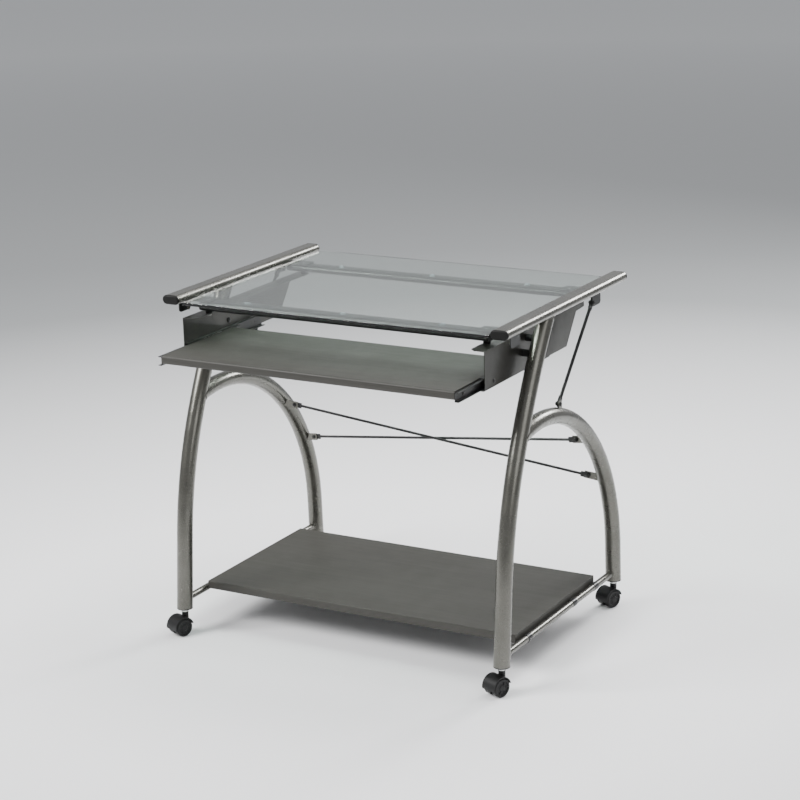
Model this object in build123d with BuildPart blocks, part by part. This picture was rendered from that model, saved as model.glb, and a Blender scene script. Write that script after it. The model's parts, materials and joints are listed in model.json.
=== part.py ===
from build123d import *
from math import cos, radians, sin
import os

os.makedirs("parts", exist_ok=True)

# Computer desk with a sliding keyboard tray, a bottom shelf and four casters.
# Millimetres. X to the right, Y to the back, Z up. The origin is on the floor, under the
# middle of the desk, and the sitter is at -Y. The tray is drawn out part of its travel.

sides = {"left": -1, "right": 1}

# top rails: flat-oval tube, lying flat, with a plug in each end
rail_x = 388.0
rail_z = 750.0
rail_front = -240.0
rail_back = 345.0
rail_width = 40.0
rail_height = 20.0
rail_wall = 1.5
plug_face = 5.0
plug_reach = 16.0

# glass
glass_half_width = 361.0
glass_front = -238.0
glass_back = 336.0
glass_thickness = 6.0
glass_bottom = 741.0
glass_corner = 6.0

# crossbars under the glass, and the brackets that hang them from the rails
bar_width = 40.0
bar_height = 15.0
bar_top = 737.5
bar_wall = 1.5
bar_half_length = {"front": 341.0, "rear": 363.0}
bar_y = {"front": -179.0, "rear": 211.0}
bracket_plate = 2.5
bracket_inner_x = 316.0
bracket_width = 42.0
bracket_drop = 26.0
bumper_x = 232.0
stud_x = 384.0
stud_radius = 3.0
stud_length = 23.0
corner_bolt_x = 331.0

# legs and arches: round tube in the plane of each rail
tube_radius = 17.5
tube_wall = 1.5
foot_z = 60.0
front_foot_y = -245.0
front_lean = 5.0
front_straight = 165.0
front_bends = [(850.0, 18.0), (1475.0, 11.4)]
rear_foot_y = 316.0
rear_lean = -2.0
rear_straight = 85.0
arch_bends = [(405.0, 61.0), (347.0, 41.1)]

# side plates, folded inwards along the top
plate_outer_x = 357.0
plate_sheet = 1.5
plate_top = 715.0
plate_bottom = 636.0
plate_front = -241.0
plate_back = 230.0
plate_flange = 34.0

# keyboard tray, drawn out by tray_out from its closed place
tray_out = 104.0
tray_front = -345.0
tray_back = -74.0
tray_half_width = 343.0
tray_top = 658.5
tray_thickness = 18.0

# ball-bearing slides: an outer channel, an inner channel and a ball cage
slide_z = 646.0
slide_length = 300.0
slide_front = -240.0
outer_height = 27.0
outer_depth = 10.3
inner_height = 19.4
inner_depth = 9.3
channel_wall = 1.2
cage_length = 74.0
ball_radius = 1.2
ball_pitch = 18.0
slide_screw_y = [-202.0, 31.0]
tray_screw_y = [-310.0, -110.0]
tray_screw_radius = 1.8
tray_screw_reach = 14.0
leg_screw_z = [672.0, 700.0]

# bottom shelf on side tubes, held by saddle clips
shelf_half_width = 379.0
shelf_front = -164.0
shelf_back = 229.0
shelf_top = 96.0
shelf_thickness = 18.0
side_tube_radius = 7.5
side_tube_z = 77.5
clip_y = [-124.0, 99.0, 211.0]
clip_length = 16.0
clip_sheet = 0.9
clip_leaf = 2.0
shelf_screw_x = 366.0
shelf_hole = 2.2
shelf_screw_reach = 14.0

# stays from the rear brackets to the arches, and the crossed braces at the back
stay_radius = 3.5
stay_x = 390.2
stay_top = (196.0, 722.0)
stay_foot = (28.5, 542.6)
eye_width = 14.0
eye_reach = 16.0
screw_radius = 2.5
brace_radius = 3.0
brace_x = 352.0
brace_high = (189.0, 415.0)
brace_low = (262.0, 316.0)
brace_nudge = 4.1
brace_eye = 3.0
brace_tab = 2.5
eye_hole = 2.6

# casters: a swivelling hood on a stem, with a wheel on each side of it
caster_heading = -22.0
caster_trail = 14.5
wheel_radius = 20.0
wheel_width = 14.0
hood_web = 8.0
wheel_gap = 0.6
axle_radius = 3.0
stem_radius = 5.5
stem_top = 90.0
stem_seat = 47.0
spigot_radius = 3.4
spigot_bottom = 34.0
collar_radius = 6.8
neck_radius = 7.4
neck_bottom = 30.0
neck_top = 51.0
cover_gap = 1.4
cover_wall = 2.2
cap_recess = 1.8
cap_floor = 3.0
running_fit = 0.08
socket_flange = 2.0
socket_reach = 44.0
feet = {
    "front_left": (-rail_x, front_foot_y, front_lean),
    "front_right": (rail_x, front_foot_y, front_lean),
    "rear_left": (-rail_x, rear_foot_y, rear_lean),
    "rear_right": (rail_x, rear_foot_y, rear_lean),
}


def direction(lean):
    """A unit direction in the side plane, leaning back from upright by some degrees."""
    return (sin(radians(lean)), cos(radians(lean)))


def side_plane(x):
    """The side plane at x: local x runs to the back and local y runs up."""
    return Plane.YZ.offset(x)


def leg_path():
    """The front leg's centre line: a straight foot, then two bends to the back."""
    up = direction(front_lean)
    below = 6.0
    start = (front_foot_y - below * up[0], foot_z - below * up[1])
    end = (start[0] + (front_straight + below) * up[0], start[1] + (front_straight + below) * up[1])
    with BuildLine() as path:
        Line(start, end)
        for radius, turn in front_bends:
            JernArc(path.line @ 1, path.line % 1, radius, -turn)
    return path.line


def leg_point(z):
    """The point of the front leg's centre line at a height: local x is to the back."""
    low, high = 0.0, 1.0
    for halving in range(40):
        middle = (low + high) / 2
        if (leg_line @ middle).Y < z:
            low = middle
        else:
            high = middle
    return leg_line @ low


def arch_path():
    """The rear foot's centre line: up, over and down to the middle of the front leg."""
    up = direction(rear_lean)
    below = 6.0
    start = (rear_foot_y - below * up[0], foot_z - below * up[1])
    end = (start[0] + (rear_straight + below) * up[0], start[1] + (rear_straight + below) * up[1])
    with BuildLine() as path:
        Line(start, end)
        for radius, turn in arch_bends:
            JernArc(path.line @ 1, path.line % 1, radius, turn)
    return path.line


def envelope(path, x):
    """The solid bar that a leg tube fills, for trimming what meets it."""
    wire = side_plane(x).from_local_coords(path)
    with BuildPart() as bar:
        with BuildSketch(Plane(wire @ 0, z_dir=wire % 0)):
            Circle(tube_radius)
        sweep(path=wire)
    return bar.part


def pan_screw(seat, head, height, radius, reach):
    """A screw with a rounded pan head on the seat plane and its shank below it."""
    with BuildPart() as screw:
        with BuildSketch(seat):
            Circle(head)
        extrude(amount=height)
        fillet(screw.faces().sort_by(Axis(seat.origin, seat.z_dir))[-1].edges(), 0.7 * height)
        with BuildSketch(seat):
            Circle(radius)
        extrude(amount=-reach)
    return screw.part


def eye_screw(seat, grip):
    """A pan head screw through a joint of the given grip, with a nut on its far side."""
    with BuildPart() as screw:
        add(pan_screw(seat, 4.6, 2.6, screw_radius, grip + 5.5))
        with BuildSketch(seat.offset(-grip)):
            RegularPolygon(4.2, 6, major_radius=False)
        extrude(amount=-4.0)
    return screw.part


def sideways(side, x, y, z):
    """A seat plane in a side plate or a bracket, facing outwards for a positive side."""
    return Plane((x, y, z), x_dir=(0, 1, 0), z_dir=(side, 0, 0))


def rail_plug(x, y, outward):
    """A plug for a rail's end at y: a face outside the tube and a stub inside it."""
    with BuildPart() as plug:
        with BuildSketch(Plane.XZ.offset(-y - outward * plug_face)):
            with Locations((x, rail_z)):
                SlotOverall(rail_width, rail_height)
        extrude(amount=outward * plug_face)
        fillet(plug.faces().sort_by(Axis.Y)[0 if outward > 0 else -1].edges(), 3.5)
        with BuildSketch(Plane.XZ.offset(-y - outward * plug_face)):
            with Locations((x, rail_z)):
                SlotOverall(rail_width - 2 * rail_wall - 0.2, rail_height - 2 * rail_wall - 0.2)
        extrude(amount=-outward * plug_reach)
    return plug.part


def channel(back, opening, depth, height, front):
    """A C-shaped slide channel: its back is at x = back and it opens towards opening."""
    with BuildPart() as section:
        with BuildSketch(Plane.XZ.offset(-front)) as outline:
            with Locations((back + opening * depth / 2, slide_z)):
                Rectangle(depth, height)
            fillet(outline.vertices().group_by(Axis.X)[0 if opening > 0 else -1], 1.6)
            with Locations((back + opening * (channel_wall + depth / 2), slide_z)):
                Rectangle(depth, height - 2 * channel_wall, mode=Mode.SUBTRACT)
        extrude(amount=-slide_length)
    return section.part


def arch_tabs(side):
    """The tabs on an arch for the stay's foot and for one end of each brace."""
    with BuildPart() as tabs:
        with BuildSketch(side_plane(side * web_inner_x)):
            with Locations((stay_foot[0], stay_foot[1] - 6)):
                Rectangle(15, 28)
            with Locations(stay_foot):
                Circle(eye_hole, mode=Mode.SUBTRACT)
        extrude(amount=side * bracket_plate)
        for own, end in ((side, "high"), (-side, "low")):
            with BuildSketch(brace_plane(own, end).offset(brace_eye / 2)):
                with Locations((-15, 0)):
                    Rectangle(46, 16)
                Circle(eye_hole, mode=Mode.SUBTRACT)
            extrude(amount=brace_tab)
    return tabs.part


def flat_rod(start, along, face, length, radius, eye, thickness):
    """A round rod whose ends are flattened to eyes, each with a hole for a screw."""
    across = Plane(start, x_dir=along, z_dir=face)
    with BuildPart() as rod:
        with BuildSketch(across.offset(-thickness / 2)):
            with Locations((0, 0), (length, 0)):
                Circle(eye / 2)
            with Locations((eye_reach / 2, 0), (length - eye_reach / 2, 0)):
                Rectangle(eye_reach, eye)
        extrude(amount=thickness)
        with BuildSketch(Plane(start + along * (eye_reach - 2), z_dir=along)):
            Circle(radius)
        extrude(amount=length - 2 * eye_reach + 4)
        with BuildSketch(across.offset(-thickness / 2)):
            with Locations((0, 0), (length, 0)):
                Circle(eye_hole)
        extrude(amount=thickness, mode=Mode.SUBTRACT)
    return rod.part


def caster_socket(x, y, lean):
    """A plug inside a foot, along its lean, with a flange under it and an upright bore."""
    up = direction(lean)
    with BuildPart() as socket:
        with BuildSketch(Plane((x, y - 6 * up[0], foot_z - 6 * up[1]), z_dir=(0, *up))):
            Circle(tube_radius - tube_wall - 0.1)
        extrude(amount=socket_reach)
        split(bisect_by=foot_plane, keep=Keep.TOP)
        with BuildSketch(foot_plane):
            with Locations((x, y)):
                Circle(tube_radius)
        extrude(amount=-socket_flange)
        with BuildSketch(foot_plane.offset(-socket_flange)):
            with Locations((x, y)):
                Circle(stem_radius + running_fit)
        extrude(amount=socket_reach + 6, mode=Mode.SUBTRACT)
    return socket.part


def brace_line(side):
    """The ends of one brace: high on its own side, low on the other."""
    nudge = side * brace_nudge
    high = Vector(side * brace_x, brace_high[0] + nudge, brace_high[1])
    low = Vector(-side * brace_x, brace_low[0] + nudge, brace_low[1])
    return high, low


def brace_plane(side, end):
    """The plane of a brace's flattened eye: local x runs along the brace, inwards."""
    high, low = brace_line(side)
    along = (low - high).normalized() if end == "high" else (high - low).normalized()
    face = along.cross(Vector(0, 0, 1)).normalized()
    return Plane(high if end == "high" else low, x_dir=along, z_dir=face)


leg_line = leg_path()
arch_line = arch_path()
foot_plane = Plane.XY.offset(foot_z)
slide_inner_x = plate_outer_x - plate_sheet
web_inner_x = stay_x + 1.8
web_outer_x = web_inner_x + bracket_plate
leg_screw_points = [leg_point(z) for z in leg_screw_z]
shelf_screw_points = [(s * shelf_screw_x, y) for s in sides.values() for y in clip_y]
plate_screw_points = [(y, slide_z) for y in slide_screw_y]
tray_seat_x = tray_half_width + channel_wall
tray_screw_points = [(y, slide_z) for y in tray_screw_y]

# rails, each with a weld stud over each crossbar
for side, s in sides.items():
    with BuildPart() as rail:
        with BuildSketch(Plane.XZ.offset(-rail_front - plug_face)):
            with Locations((s * rail_x, rail_z)):
                SlotOverall(rail_width, rail_height)
                SlotOverall(rail_width - 2 * rail_wall, rail_height - 2 * rail_wall, mode=Mode.SUBTRACT)
        extrude(amount=-(rail_back - rail_front - 2 * plug_face))
        for y in bar_y.values():
            with BuildSketch(Plane.XY.offset(rail_z - rail_height / 2)):
                with Locations((s * stud_x, y)):
                    Circle(stud_radius)
            extrude(amount=-stud_length)
        chamfer(rail.faces().group_by(Axis.Z)[0].edges(), 0.7)
    rail.part.label = f"rail_{side}"
    export_step(rail.part, f"parts/rail_{side}.step")

# rail plugs: a domed face outside the tube and a stub inside it
rail_ends = ((rail_front, 1), (rail_back, -1))
plugs = [rail_plug(s * rail_x, y, outward) for s in sides.values() for y, outward in rail_ends]
with BuildPart() as rail_plugs:
    add(plugs)
rail_plugs.part.label = "rail_plugs"
export_step(rail_plugs.part, "parts/rail_plugs.step")

# glass top
with BuildPart() as glass_top:
    with BuildSketch(Plane.XY.offset(glass_bottom)):
        with Locations((0, (glass_front + glass_back) / 2)):
            RectangleRounded(2 * glass_half_width, glass_back - glass_front, glass_corner)
    extrude(amount=glass_thickness)
    chamfer(glass_top.faces().sort_by(Axis.Z)[-1].edges(), 0.8)
    chamfer(glass_top.faces().sort_by(Axis.Z)[0].edges(), 0.8)
glass_top.part.label = "glass_top"
export_step(glass_top.part, "parts/glass_top.step")

# clear bumpers between the crossbars and the glass
with BuildPart() as glass_bumpers:
    for y in bar_y.values():
        with BuildSketch(Plane.XY.offset(bar_top)):
            with Locations((-bumper_x, y), (0, y), (bumper_x, y)):
                Circle(6.5)
        extrude(amount=glass_bottom - bar_top, taper=12)
glass_bumpers.part.label = "glass_bumpers"
export_step(glass_bumpers.part, "parts/glass_bumpers.step")

# crossbars
for place, y in bar_y.items():
    with BuildPart() as crossbar:
        with BuildSketch(Plane.YZ.offset(-bar_half_length[place])):
            with Locations((y, bar_top - bar_height / 2)):
                SlotOverall(bar_width, bar_height)
                SlotOverall(bar_width - 2 * bar_wall, bar_height - 2 * bar_wall, mode=Mode.SUBTRACT)
        extrude(amount=2 * bar_half_length[place])
        with BuildSketch(Plane.XY.offset(bar_top - bar_height)):
            with Locations((-corner_bolt_x, y), (corner_bolt_x, y)):
                Circle(stud_radius + 0.3)
        extrude(amount=bar_height, mode=Mode.SUBTRACT)
    crossbar.part.label = f"crossbar_{place}"
    export_step(crossbar.part, f"parts/crossbar_{place}.step")

# plugs in the ends of the crossbars
with BuildPart() as crossbar_plugs:
    for place, y in bar_y.items():
        for s in sides.values():
            with BuildSketch(Plane.YZ.offset(s * bar_half_length[place])):
                with Locations((y, bar_top - bar_height / 2)):
                    SlotOverall(bar_width, bar_height)
            extrude(amount=s * 2.0)
crossbar_plugs.part.label = "crossbar_plugs"
export_step(crossbar_plugs.part, "parts/crossbar_plugs.step")

# brackets under the rails: a plate over the crossbar's end and a web that hangs outside
for place, y in bar_y.items():
    with BuildPart() as brackets:
        for s in sides.values():
            with BuildSketch(Plane.XY.offset(bar_top)):
                with Locations((s * (bracket_inner_x + web_outer_x) / 2, y)):
                    Rectangle(web_outer_x - bracket_inner_x, bracket_width)
                with Locations((s * stud_x, y), (s * corner_bolt_x, y)):
                    Circle(stud_radius + 0.3, mode=Mode.SUBTRACT)
            extrude(amount=bracket_plate)
            with BuildSketch(side_plane(s * web_inner_x)) as web:
                with Locations((y, bar_top + bracket_plate - bracket_drop / 2)):
                    Rectangle(bracket_width, bracket_drop)
                fillet(web.vertices().group_by(Axis.Z)[0], 7)
            extrude(amount=s * bracket_plate)
            if place == "rear":
                with BuildSketch(side_plane(s * web_inner_x)):
                    with Locations(stay_top):
                        Circle(eye_hole)
                extrude(amount=s * bracket_plate, mode=Mode.SUBTRACT)
    brackets.part.label = f"{place}_brackets"
    export_step(brackets.part, f"parts/{place}_brackets.step")

# flanged nuts on the studs, below the brackets
with BuildPart() as stud_nuts:
    for y in bar_y.values():
        for s in sides.values():
            with BuildSketch(Plane.XY.offset(bar_top)):
                with Locations((s * stud_x, y)):
                    Circle(6.0)
                    Circle(stud_radius, mode=Mode.SUBTRACT)
            extrude(amount=-1.0)
            with BuildSketch(Plane.XY.offset(bar_top - 1.0)):
                with Locations((s * stud_x, y)):
                    RegularPolygon(5.0, 6, major_radius=False)
                    Circle(stud_radius, mode=Mode.SUBTRACT)
            extrude(amount=-5.0)
stud_nuts.part.label = "stud_nuts"
export_step(stud_nuts.part, "parts/stud_nuts.step")

# corner bolts: up through the plate's flange, a spacer, the crossbar and the bracket
with BuildPart() as corner_bolts:
    for y in bar_y.values():
        for s in sides.values():
            with BuildSketch(Plane.XY.offset(plate_top - plate_sheet)):
                with Locations((s * corner_bolt_x, y)):
                    RegularPolygon(5.0, 6, major_radius=False)
            extrude(amount=-4.0)
            with BuildSketch(Plane.XY.offset(plate_top - plate_sheet)):
                with Locations((s * corner_bolt_x, y)):
                    Circle(stud_radius)
            extrude(amount=bar_top + bracket_plate - plate_top + plate_sheet)
corner_bolts.part.label = "corner_bolts"
export_step(corner_bolts.part, "parts/corner_bolts.step")

with BuildPart() as corner_spacers:
    for y in bar_y.values():
        for s in sides.values():
            with BuildSketch(Plane.XY.offset(plate_top)):
                with Locations((s * corner_bolt_x, y)):
                    Circle(7.5)
                    Circle(stud_radius + 0.3, mode=Mode.SUBTRACT)
            extrude(amount=bar_top - bar_height - plate_top)
corner_spacers.part.label = "corner_spacers"
export_step(corner_spacers.part, "parts/corner_spacers.step")

# front legs: bent tube, cut level at the foot and coped under the rail
leg_bars = {side: envelope(leg_line, s * rail_x) for side, s in sides.items()}
for side, s in sides.items():
    x = s * rail_x
    wire = side_plane(x).from_local_coords(leg_line)
    with BuildPart() as leg:
        with BuildSketch(Plane(wire @ 0, z_dir=wire % 0)):
            Circle(tube_radius)
            Circle(tube_radius - tube_wall, mode=Mode.SUBTRACT)
        sweep(path=wire)
        split(bisect_by=foot_plane, keep=Keep.TOP)
        with BuildSketch(Plane.XZ.offset(-rail_front)):
            with Locations((x, rail_z)):
                SlotOverall(rail_width, rail_height)
        extrude(amount=-(rail_back - rail_front), mode=Mode.SUBTRACT)
        with BuildSketch(side_plane(s * slide_inner_x)):
            with Locations(leg_screw_points):
                Circle(stud_radius)
        extrude(amount=s * (rail_x - slide_inner_x), mode=Mode.SUBTRACT)
    leg.part.label = f"leg_{side}"
    export_step(leg.part, f"parts/leg_{side}.step")

# arches: rear feet that bend over to the front legs, with the tabs for the stay and the braces
arch_bars = {side: envelope(arch_line, s * rail_x) for side, s in sides.items()}
tabs = {side: arch_tabs(s) for side, s in sides.items()}
for side, s in sides.items():
    x = s * rail_x
    wire = side_plane(x).from_local_coords(arch_line)
    with BuildPart() as arch:
        add(tabs[side])
        add(arch_bars[side], mode=Mode.SUBTRACT)
        with BuildSketch(Plane(wire @ 0, z_dir=wire % 0)):
            Circle(tube_radius)
            Circle(tube_radius - tube_wall, mode=Mode.SUBTRACT)
        sweep(path=wire)
        split(bisect_by=foot_plane, keep=Keep.TOP)
        add(leg_bars[side], mode=Mode.SUBTRACT)
    arch.part.label = f"arch_{side}"
    export_step(arch.part, f"parts/arch_{side}.step")

# side plates: sheet with a slanted back edge and a flange folded inwards along the top
for side, s in sides.items():
    with BuildPart() as plate:
        with BuildSketch(side_plane(s * slide_inner_x)) as outline:
            with BuildLine():
                Polyline(
                    (plate_front, plate_bottom),
                    (141, plate_bottom),
                    (190, 702),
                    (plate_back, 704),
                    (plate_back, plate_top),
                    (plate_front, plate_top),
                    close=True,
                )
            make_face()
            fillet(outline.vertices().sort_by(Axis.Z)[0:2].sort_by(Axis.Y)[-1], 6)
            fillet(outline.vertices().filter_by(lambda v: 180 < v.Y < 200), 14)
        extrude(amount=s * plate_sheet)
        with BuildSketch(Plane.XY.offset(plate_top - plate_sheet)) as flange:
            with Locations((s * (plate_outer_x - plate_flange / 2), (plate_front + plate_back) / 2)):
                Rectangle(plate_flange, plate_back - plate_front)
            chamfer(flange.vertices().group_by(Axis.X)[0 if s > 0 else -1], 10)
            with Locations([(s * corner_bolt_x, y) for y in bar_y.values()]):
                Circle(stud_radius + 0.3, mode=Mode.SUBTRACT)
        extrude(amount=plate_sheet)
        top_edges = plate.edges().filter_by(Axis.Y).group_by(Axis.Z)[-1]
        fillet(top_edges.sort_by(Axis.X)[-1 if s > 0 else 0], 1.2)
        with BuildSketch(side_plane(s * slide_inner_x)):
            with Locations(leg_screw_points):
                Circle(stud_radius)
            with Locations(plate_screw_points):
                Circle(screw_radius)
        extrude(amount=s * plate_sheet, mode=Mode.SUBTRACT)
    plate.part.label = f"side_plate_{side}"
    export_step(plate.part, f"parts/side_plate_{side}.step")

# spacers between the side plates and the legs, hollowed to the tube, and their screws
with BuildPart() as leg_spacers:
    for s in sides.values():
        with BuildSketch(side_plane(s * plate_outer_x)):
            with Locations(leg_screw_points):
                Circle(7.5)
                Circle(stud_radius, mode=Mode.SUBTRACT)
        extrude(amount=s * 22)
    add(leg_bars.values(), mode=Mode.SUBTRACT)
leg_spacers.part.label = "leg_spacers"
export_step(leg_spacers.part, "parts/leg_spacers.step")

screws = [
    pan_screw(sideways(-s, s * slide_inner_x, point.X, point.Y), 6.0, 3.0, stud_radius, 20.0)
    for s in sides.values()
    for point in leg_screw_points
]
with BuildPart() as leg_screws:
    add(screws)
leg_screws.part.label = "leg_screws"
export_step(leg_screws.part, "parts/leg_screws.step")

# keyboard tray, with its front edge rounded over
with BuildPart() as keyboard_tray:
    with BuildSketch(Plane.XY.offset(tray_top - tray_thickness)):
        with Locations((0, (tray_front + tray_back) / 2)):
            Rectangle(2 * tray_half_width, tray_back - tray_front)
    extrude(amount=tray_thickness)
    fillet(keyboard_tray.faces().sort_by(Axis.Y)[0].edges().filter_by(Axis.X), 5)
    for s in sides.values():
        with BuildSketch(side_plane(s * tray_half_width)):
            with Locations(tray_screw_points):
                Circle(tray_screw_radius)
        extrude(amount=-s * tray_screw_reach, mode=Mode.SUBTRACT)
keyboard_tray.part.label = "keyboard_tray"
export_step(keyboard_tray.part, "parts/keyboard_tray.step")

# slides: the outer channel on the side plate, the inner channel on the tray's edge
for side, s in sides.items():
    outer = channel(s * slide_inner_x, -s, outer_depth, outer_height, slide_front)
    with BuildPart() as slide_outer:
        add(outer)
        with BuildSketch(side_plane(s * slide_inner_x)):
            with Locations(plate_screw_points):
                Circle(screw_radius)
        extrude(amount=-s * channel_wall, mode=Mode.SUBTRACT)
    slide_outer.part.label = f"slide_outer_{side}"
    export_step(slide_outer.part, f"parts/slide_outer_{side}.step")

    inner = channel(s * tray_half_width, s, inner_depth, inner_height, slide_front - tray_out)
    with BuildPart() as slide_inner:
        add(inner)
        with BuildSketch(side_plane(s * tray_half_width)):
            with Locations(tray_screw_points):
                Circle(tray_screw_radius)
        extrude(amount=s * channel_wall, mode=Mode.SUBTRACT)
    slide_inner.part.label = f"slide_inner_{side}"
    export_step(slide_inner.part, f"parts/slide_inner_{side}.step")

# ball cages: a folded strip with two rows of balls, in the middle of the channels' overlap
cage_middle = slide_front + (slide_length - tray_out) / 2
race_z = (inner_height / 2 + outer_height / 2 - channel_wall) / 2
cage_x = tray_half_width + inner_depth + 0.7
cage_sheet = 0.6
ball_x = cage_x - 3.6
balls = [
    Pos(s * ball_x, cage_middle + step * ball_pitch, slide_z + row * race_z) * Sphere(ball_radius)
    for s in sides.values()
    for step in (-1.5, -0.5, 0.5, 1.5)
    for row in (-1, 1)
]
pockets = [Pos(*ball.center()) * Sphere(ball_radius + 0.1) for ball in balls]
with BuildPart() as ball_cages:
    for s in sides.values():
        with BuildSketch(Plane.XZ.offset(cage_length / 2 - cage_middle)):
            with Locations((s * (cage_x + cage_sheet / 2), slide_z)):
                Rectangle(cage_sheet, 2 * race_z + cage_sheet)
            with Locations((s * (cage_x - 2.7), slide_z + race_z), (s * (cage_x - 2.7), slide_z - race_z)):
                Rectangle(6.0, cage_sheet)
        extrude(amount=-cage_length)
    add(pockets, mode=Mode.SUBTRACT)
    add(balls)
ball_cages.part.label = "ball_cages"
export_step(ball_cages.part, "parts/ball_cages.step")

# screws of the slides: through the side plate, and into the tray's edge
plate_grip = plate_sheet + channel_wall + 0.2
screws = [
    pan_screw(sideways(s, s * plate_outer_x, *point), 4.4, 2.2, screw_radius, plate_grip)
    for s in sides.values()
    for point in plate_screw_points
]
with BuildPart() as plate_screws:
    add(screws)
plate_screws.part.label = "plate_screws"
export_step(plate_screws.part, "parts/plate_screws.step")

screws = [
    pan_screw(sideways(s, s * tray_seat_x, *point), 3.6, 1.8, tray_screw_radius, tray_screw_reach)
    for s in sides.values()
    for point in tray_screw_points
]
with BuildPart() as tray_screws:
    add(screws)
tray_screws.part.label = "tray_screws"
export_step(tray_screws.part, "parts/tray_screws.step")

# bottom shelf
with BuildPart() as bottom_shelf:
    with BuildSketch(Plane.XY.offset(shelf_top - shelf_thickness)):
        with Locations((0, (shelf_front + shelf_back) / 2)):
            Rectangle(2 * shelf_half_width, shelf_back - shelf_front)
    extrude(amount=shelf_thickness)
    fillet(bottom_shelf.faces().sort_by(Axis.Y)[0].edges().filter_by(Axis.X), 2)
    with BuildSketch(Plane.XY.offset(shelf_top - shelf_thickness)):
        with Locations(shelf_screw_points):
            Circle(shelf_hole)
    extrude(amount=shelf_screw_reach - clip_leaf, mode=Mode.SUBTRACT)
bottom_shelf.part.label = "bottom_shelf"
export_step(bottom_shelf.part, "parts/bottom_shelf.step")

# side tubes from leg to leg
for side, s in sides.items():
    with BuildPart() as side_tube:
        with BuildSketch(Plane.XZ.offset(-front_foot_y)):
            with Locations((s * rail_x, side_tube_z)):
                Circle(side_tube_radius)
                Circle(side_tube_radius - 1.2, mode=Mode.SUBTRACT)
        extrude(amount=-(rear_foot_y - front_foot_y))
        add(leg_bars[side], mode=Mode.SUBTRACT)
        add(arch_bars[side], mode=Mode.SUBTRACT)
    side_tube.part.label = f"side_tube_{side}"
    export_step(side_tube.part, f"parts/side_tube_{side}.step")

# saddle clips: a band round the side tube and a leaf under the shelf
clip_reach = 38.0
with BuildPart() as shelf_clips:
    for s in sides.values():
        for y in clip_y:
            with BuildSketch(Plane.XZ.offset(clip_length / 2 - y)):
                with Locations((s * rail_x, side_tube_z)):
                    Circle(side_tube_radius + clip_sheet)
                with Locations((s * (rail_x - clip_reach / 2), shelf_top - shelf_thickness - clip_leaf / 2)):
                    Rectangle(clip_reach, clip_leaf)
                with Locations((s * rail_x, side_tube_z)):
                    Circle(side_tube_radius, mode=Mode.SUBTRACT)
            extrude(amount=-clip_length)
    with BuildSketch(Plane.XY.offset(shelf_top - shelf_thickness)):
        with Locations(shelf_screw_points):
            Circle(shelf_hole)
    extrude(amount=-clip_leaf, mode=Mode.SUBTRACT)
shelf_clips.part.label = "shelf_clips"
export_step(shelf_clips.part, "parts/shelf_clips.step")

# screws from below, through the clips' leaves into the shelf
clip_seat = shelf_top - shelf_thickness - clip_leaf
screws = [
    pan_screw(Plane((x, y, clip_seat), z_dir=(0, 0, -1)), 4.4, 2.2, shelf_hole, shelf_screw_reach)
    for x, y in shelf_screw_points
]
with BuildPart() as shelf_screws:
    add(screws)
shelf_screws.part.label = "shelf_screws"
export_step(shelf_screws.part, "parts/shelf_screws.step")

# stays: round rods with flattened eyes, from the rear brackets to the arches
stay_eye = 2 * (web_inner_x - stay_x)
for side, s in sides.items():
    top = Vector(s * stay_x, *stay_top)
    run = Vector(s * stay_x, *stay_foot) - top
    rod = flat_rod(top, run.normalized(), (s, 0, 0), run.length, stay_radius, eye_width, stay_eye)
    with BuildPart() as stay:
        add(rod)
    stay.part.label = f"stay_{side}"
    export_step(stay.part, f"parts/stay_{side}.step")

# crossed braces between the arches, passing each other in the middle
for side, s in sides.items():
    high, low = brace_line(s)
    eye_plane = brace_plane(s, "high")
    length = (low - high).length
    rod = flat_rod(high, eye_plane.x_dir, eye_plane.z_dir, length, brace_radius, eye_width - 2, brace_eye)
    with BuildPart() as brace:
        add(rod)
    brace.part.label = f"brace_{side}"
    export_step(brace.part, f"parts/brace_{side}.step")

# screws of the stays and the braces, each with its nut
stay_grip = bracket_plate + stay_eye
brace_grip = brace_eye + brace_tab
screws = []
for s in sides.values():
    for spot in (stay_top, stay_foot):
        screws.append(eye_screw(sideways(s, s * web_outer_x, *spot), stay_grip))
    for end in ("high", "low"):
        screws.append(eye_screw(brace_plane(s, end).offset(brace_eye / 2 + brace_tab), brace_grip))
with BuildPart() as brace_screws:
    add(screws)
brace_screws.part.label = "brace_screws"
export_step(brace_screws.part, "parts/brace_screws.step")

# sockets in the feet, bored upright for the caster stems
sockets = [caster_socket(*foot) for foot in feet.values()]
with BuildPart() as caster_sockets:
    add(sockets)
caster_sockets.part.label = "caster_sockets"
export_step(caster_sockets.part, "parts/caster_sockets.step")

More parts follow.
